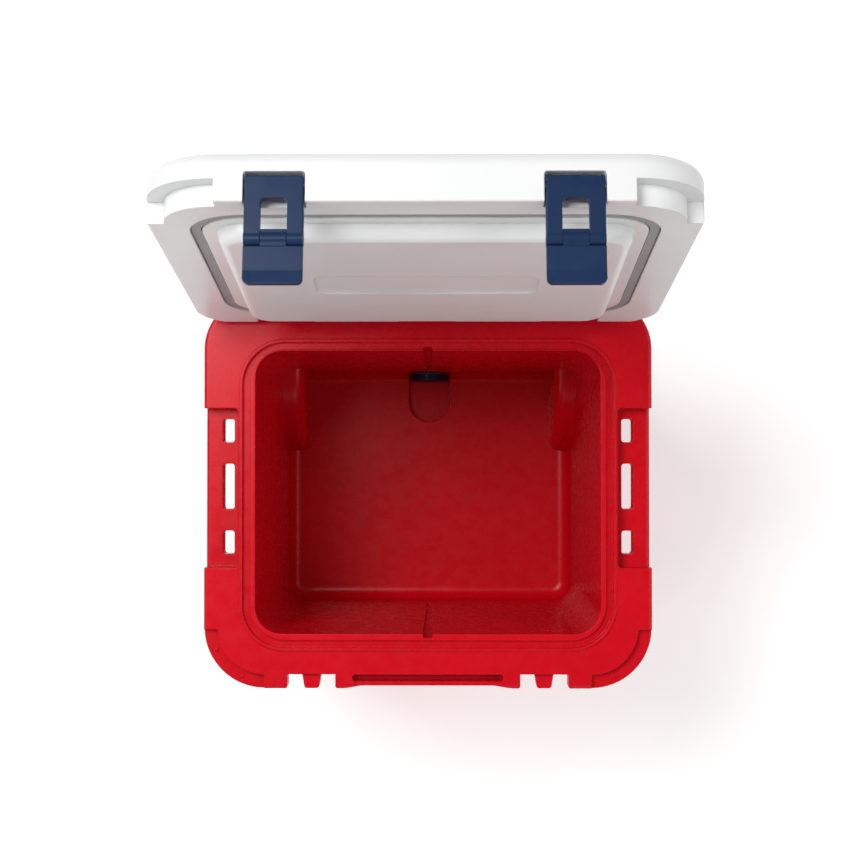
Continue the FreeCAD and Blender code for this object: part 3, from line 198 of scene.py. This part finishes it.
MATERIALS = {
    "red_plastic": moulded("red_plastic", (0.63, 0.0025, 0.012), (0.58, 0.002, 0.01), 0.27,
                            edge=2.2 * MM, bump=0.07, wave=0.07, specular=0.2),
    "white_plastic": moulded("white_plastic", (0.82, 0.82, 0.82), (0.78, 0.785, 0.785), 0.34,
                              edge=1.8 * MM, bump=0.07, wave=0.05),
    "navy_plastic": moulded("navy_plastic", (0.012, 0.028, 0.076), (0.014, 0.033, 0.087), 0.3,
                            edge=1.1 * MM, wave=0.06, specular=0.14),
    "dark_plastic": moulded("dark_plastic", (0.026, 0.027, 0.03), (0.034, 0.035, 0.038), 0.5,
                            grain=1100, edge=0.8 * MM, bump=0.3, wave=0.1),
    "hinge_cap_plastic": moulded("hinge_cap_plastic", (0.78, 0.78, 0.78), (0.74, 0.74, 0.74), 0.45),
    "gasket_rubber": rubber("gasket_rubber", (0.3, 0.302, 0.306), (0.35, 0.352, 0.357), 0.5),
    "foot_rubber": rubber("foot_rubber", (0.02, 0.02, 0.021), (0.045, 0.043, 0.04), 0.78),
    "grip_rubber": rubber("grip_rubber", (0.03, 0.031, 0.034), (0.04, 0.041, 0.044), 0.68),
    "tyre_rubber": rubber("tyre_rubber", (0.02, 0.02, 0.021), (0.05, 0.048, 0.045), 0.74, 1600),
    "steel": brushed("steel", (0.56, 0.56, 0.55), (0.48, 0.48, 0.47), 0.3, (0.04, 1, 1)),
    "aluminium": brushed("aluminium", (0.6, 0.61, 0.62), (0.53, 0.54, 0.55), 0.32, (1, 0.03, 0.03)),
    "bracket_steel": brushed("bracket_steel", (0.03, 0.03, 0.032), (0.045, 0.045, 0.046), 0.5,
                             (1, 1, 1), metallic=0.0),
    "insulation": foam("insulation"),
}

SLOT_OF = {entry["node"]: entry["material_slot"] for entry in frame["record"]["subparts"]}
for node_name, node in NODES.items():
    for material_slot in node.material_slots:
        material_slot.material = MATERIALS[SLOT_OF[node_name]]


# ---- small moulded pieces ---------------------------------------------------------------------


def finish_piece(mesh, name, body, slot):
    """Make an object of a bmesh, give it its finish and let it ride on a body of the frame."""
    bmesh.ops.recalc_face_normals(mesh, faces=mesh.faces)
    data = bpy.data.meshes.new(name)
    mesh.to_mesh(data)
    mesh.free()
    piece = bpy.data.objects.new(name, data)
    bpy.context.scene.collection.objects.link(piece)
    data.materials.append(MATERIALS[slot])
    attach(piece, body)
    return piece


def turn_profile(mesh, profile, matrix, segments=32, closed=False, notch=None):
    """Turn an outline of radius and height about z, then move it.

    notch gives how much is taken from the radius at each point and step."""
    rings = []
    for step in range(segments):
        angle = 2 * math.pi * step / segments
        ring = []
        for number, (radius, height) in enumerate(profile):
            short = radius - (notch(number, step) if notch else 0)
            point = Vector((short * math.cos(angle), short * math.sin(angle), height))
            ring.append(mesh.verts.new(matrix @ point))
        rings.append(ring)
    last = len(profile) if closed else len(profile) - 1
    for step in range(segments):
        near, far = rings[step], rings[(step + 1) % segments]
        for number in range(last):
            after = (number + 1) % len(profile)
            mesh.faces.new((near[number], near[after], far[after], far[number]))
    if not closed:
        mesh.faces.new([ring[0] for ring in rings])
        mesh.faces.new([ring[-1] for ring in rings])


def islands(node_name):
    """The boxes of the separate solids of a node."""
    mesh = bmesh.new()
    mesh.from_mesh(NODES[node_name].data)
    mesh.transform(NODES[node_name].matrix_world)
    bmesh.ops.remove_doubles(mesh, verts=mesh.verts, dist=0.01 * MM)
    boxes, seen = [], set()
    for start in mesh.verts:
        if start in seen:
            continue
        group, waiting = [], [start]
        seen.add(start)
        while waiting:
            vertex = waiting.pop()
            group.append(vertex.co.copy())
            for edge in vertex.link_edges:
                other = edge.other_vert(vertex)
                if other not in seen:
                    seen.add(other)
                    waiting.append(other)
        low = Vector([min(point[axis] for point in group) for axis in range(3)])
        high = Vector([max(point[axis] for point in group) for axis in range(3)])
        boxes.append((low, high))
    mesh.free()
    return boxes


def cross_recessed(mesh, matrix, radius, height):
    """A domed screw head with a cross-shaped recess, standing on z = 0."""
    arm, half, deep = 0.55 * radius, 0.13 * radius, 0.45 * height
    corners = [(half, half), (half, arm), (-half, arm), (-half, half), (-arm, half), (-arm, -half),
               (-half, -half), (-half, -arm), (half, -arm), (half, -half), (arm, -half), (arm, half)]
    top = [mesh.verts.new(matrix @ Vector((x, y, height))) for x, y in corners]
    floor = [mesh.verts.new(matrix @ Vector((0.75 * x, 0.75 * y, height - deep))) for x, y in corners]
    mesh.faces.new(floor)
    count = len(corners)
    angles = [math.atan2(y, x) for x, y in corners]
    rings = []
    for share, drop in ((0.72, 0.0), (0.9, 0.14), (1.0, 0.45), (1.0, 1.0)):
        rings.append([mesh.verts.new(matrix @ Vector((
            share * radius * math.cos(angle), share * radius * math.sin(angle), height * (1 - drop))))
            for angle in angles])
    for near, far in zip([floor, top] + rings[:-1], [top] + rings):
        for step in range(count):
            after = (step + 1) % count
            mesh.faces.new((near[step], near[after], far[after], far[step]))


def facing(direction, place):
    """A matrix that puts z along a direction, at a place."""
    return Matrix.Translation(place) @ Vector(direction).to_track_quat("Z", "Y").to_matrix().to_4x4()


SCREW_HEAD_HEIGHT = 2.6 * MM


def make_screws(node_name, direction, name):
    """Cross-recessed screws in place of a node's plain ones, their heads facing a direction."""
    mesh = bmesh.new()
    away = Vector(direction)
    axis = max(range(3), key=lambda number: abs(away[number]))
    across = (axis + 1) % 3
    for low, high in islands(node_name):
        radius = (high - low)[across] / 2
        seat = (low + high) / 2
        head = SCREW_HEAD_HEIGHT
        seat[axis] = (high[axis] - head) if away[axis] > 0 else (low[axis] + head)
        pose = facing(away, seat)
        cross_recessed(mesh, pose, radius, head)
        length = (high - low)[axis] - head
        shank = [(0.4 * radius, -length), (0.55 * radius, 0.9 * -length), (0.55 * radius, 0)]
        turn_profile(mesh, shank, pose, 16)
    piece = finish_piece(mesh, name, "body", "steel")
    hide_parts(node_name)


SHOULDER = 6 * MM
TREAD_STEPS = 160
NOTCH_DEPTH = 3.2 * MM


def make_tyre(side, name):
    """A tyre with notched shoulders and grooves round its tread."""
    low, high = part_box("tyre_" + side)
    hub_low, hub_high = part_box("hub_" + side)
    outer, inner = (high.z - low.z) / 2, (hub_high.z - hub_low.z) / 2
    width, middle = high.x - low.x, (low + high) / 2
    profile = [(inner, 2 * MM), (outer - SHOULDER, 0),
               (outer - SHOULDER / 4, SHOULDER / 2), (outer, SHOULDER)]
    for share in (0.3, 0.5, 0.7):
        for step, depth in ((-1.2, 0), (-0.9, 1.6), (0.9, 1.6), (1.2, 0)):
            profile.append((outer - depth * MM, share * width + step * MM))
    profile += [(outer, width - SHOULDER), (outer - SHOULDER / 4, width - SHOULDER / 2),
                (outer - SHOULDER, width), (inner, width - 2 * MM)]
    shoulders = (2, 3, len(profile) - 4, len(profile) - 3)

    def notch(number, step):
        """Two steps in every five are cut away at the shoulders."""
        return NOTCH_DEPTH if number in shoulders and step % 5 in (3, 4) else 0

    pose = facing((1, 0, 0), Vector((low.x, middle.y, middle.z)))
    mesh = bmesh.new()
    turn_profile(mesh, profile, pose, TREAD_STEPS, True, notch)
    piece = finish_piece(mesh, name, "wheel_" + side, "tyre_rubber")
    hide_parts("tyre_" + side)


LEDGE_RADIUS = 57.5 * MM
CORNER_RADIUS = 65 * MM


def make_ledge_marks():
    """Small round mould marks on the ledges of the body's front corners."""
    low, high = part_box("body_shell")
    near_corner = [vertex.co.z for vertex in NODES["body_shell"].data.vertices
                   if vertex.co.x > high.x - 30 * MM and vertex.co.y < low.y + 30 * MM]
    top = max(near_corner)
    profile = [(2.6 * MM, -0.4 * MM), (2.6 * MM, 0.25 * MM), (2.2 * MM, 0.5 * MM), (1.1 * MM, 0.6 * MM)]
    mesh = bmesh.new()
    for side in (-1, 1):
        for angle in (25, 65):
            turn = math.radians(angle)
            x = side * (high.x - CORNER_RADIUS + LEDGE_RADIUS * math.cos(turn))
            y = low.y + CORNER_RADIUS - LEDGE_RADIUS * math.sin(turn)
            turn_profile(mesh, profile, Matrix.Translation((x, y, top)), 24)
    finish_piece(mesh, "ledge_marks", "body", "red_plastic")


make_ledge_marks()
make_screws("foot_screws", (0, 0, -1), "foot_screw_heads")
make_screws("bracket_screws", (0, 0, -1), "bracket_screw_heads")
make_screws("housing_screws", (0, 1, 0), "housing_screw_heads")
make_tyre("left", "treaded_tyre_left")
make_tyre("right", "treaded_tyre_right")


# ---- stage, light and camera ------------------------------------------------------------------

BODY_LOW, BODY_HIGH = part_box("body_shell")
BODY_MIDDLE = (BODY_LOW + BODY_HIGH) / 2


def make_floor():
    """A wide plain floor."""
    bpy.ops.mesh.primitive_plane_add(size=40, location=(0, 0, -0.0004))
    floor = bpy.context.object
    floor.name = "floor"
    s = Shader("floor")
    cloud = s.spread(s.noise(3, 3), 0, 1)
    s.link(s.blend(cloud, (0.90, 0.90, 0.90), (0.88, 0.88, 0.88)), s.surface.inputs["Base Color"])
    s.set(Roughness=0.85, Specular_IOR_Level=0.2, Emission_Color=(1, 1, 1, 1), Emission_Strength=0.4)
    floor.data.materials.append(s.material)


def make_light(name, place, aim, size, power):
    """A square soft box at a place, aimed at a point."""
    data = bpy.data.lights.new(name, "AREA")
    data.shape = "SQUARE"
    data.size = size
    data.energy = power
    lamp = bpy.data.objects.new(name, data)
    bpy.context.scene.collection.objects.link(lamp)
    lamp.location = place
    lamp.rotation_euler = (Vector(aim) - Vector(place)).to_track_quat("-Z", "Y").to_euler()


def make_lights():
    """Four soft boxes round the cooler, the strongest high up behind its left side."""
    make_light("key", (-0.95, 0.75, 2.9), (0, 0, 0.4), 1.1, 52)
    make_light("left", (-2.3, -0.9, 2.1), (0, 0, 0.4), 1.8, 15)
    make_light("right", (2.3, 0.1, 2.3), (0, 0, 0.4), 1.8, 26)
    make_light("front", (0.5, -2.4, 2.2), (0, 0, 0.4), 1.8, 15)
    bpy.context.scene.view_settings.view_transform = "Standard"


def make_world():
    """A dim surround that lights the scene a little and looks pale behind the floor."""
    world = bpy.data.worlds.new("studio")
    world.use_nodes = True
    tree = world.node_tree
    dim = tree.nodes["Background"]
    dim.inputs["Color"].default_value = (1, 1, 1, 1)
    dim.inputs["Strength"].default_value = 0.13
    pale = tree.nodes.new("ShaderNodeBackground")
    pale.inputs["Color"].default_value = (1, 1, 1, 1)
    pale.inputs["Strength"].default_value = 0.95
    seen = tree.nodes.new("ShaderNodeMixShader")
    tree.links.new(tree.nodes.new("ShaderNodeLightPath").outputs["Is Camera Ray"], seen.inputs["Fac"])
    tree.links.new(dim.outputs["Background"], seen.inputs[1])
    tree.links.new(pale.outputs["Background"], seen.inputs[2])
    tree.links.new(seen.outputs["Shader"], tree.nodes["World Output"].inputs["Surface"])
    bpy.context.scene.world = world


CAMERA_HEIGHT = 2.269
CAMERA_RIGHT = 0.011
CAMERA_BACK = 0.043
LENS = 71.5
TILT_BACK = 0.989
TILT_LEFT = 0.512


def make_camera():
    """A camera that looks almost straight down from well above the open rim."""
    data = bpy.data.cameras.new("camera")
    data.lens = LENS
    data.sensor_width = 36
    camera = bpy.data.objects.new("camera", data)
    bpy.context.scene.collection.objects.link(camera)
    camera.location = (CAMERA_RIGHT, BODY_MIDDLE.y + CAMERA_BACK, CAMERA_HEIGHT)
    camera.rotation_euler = (math.radians(TILT_BACK), math.radians(TILT_LEFT), 0)
    data.clip_start, data.clip_end = 0.1, 50
    bpy.context.scene.camera = camera


make_floor()
make_lights()
make_world()
make_camera()
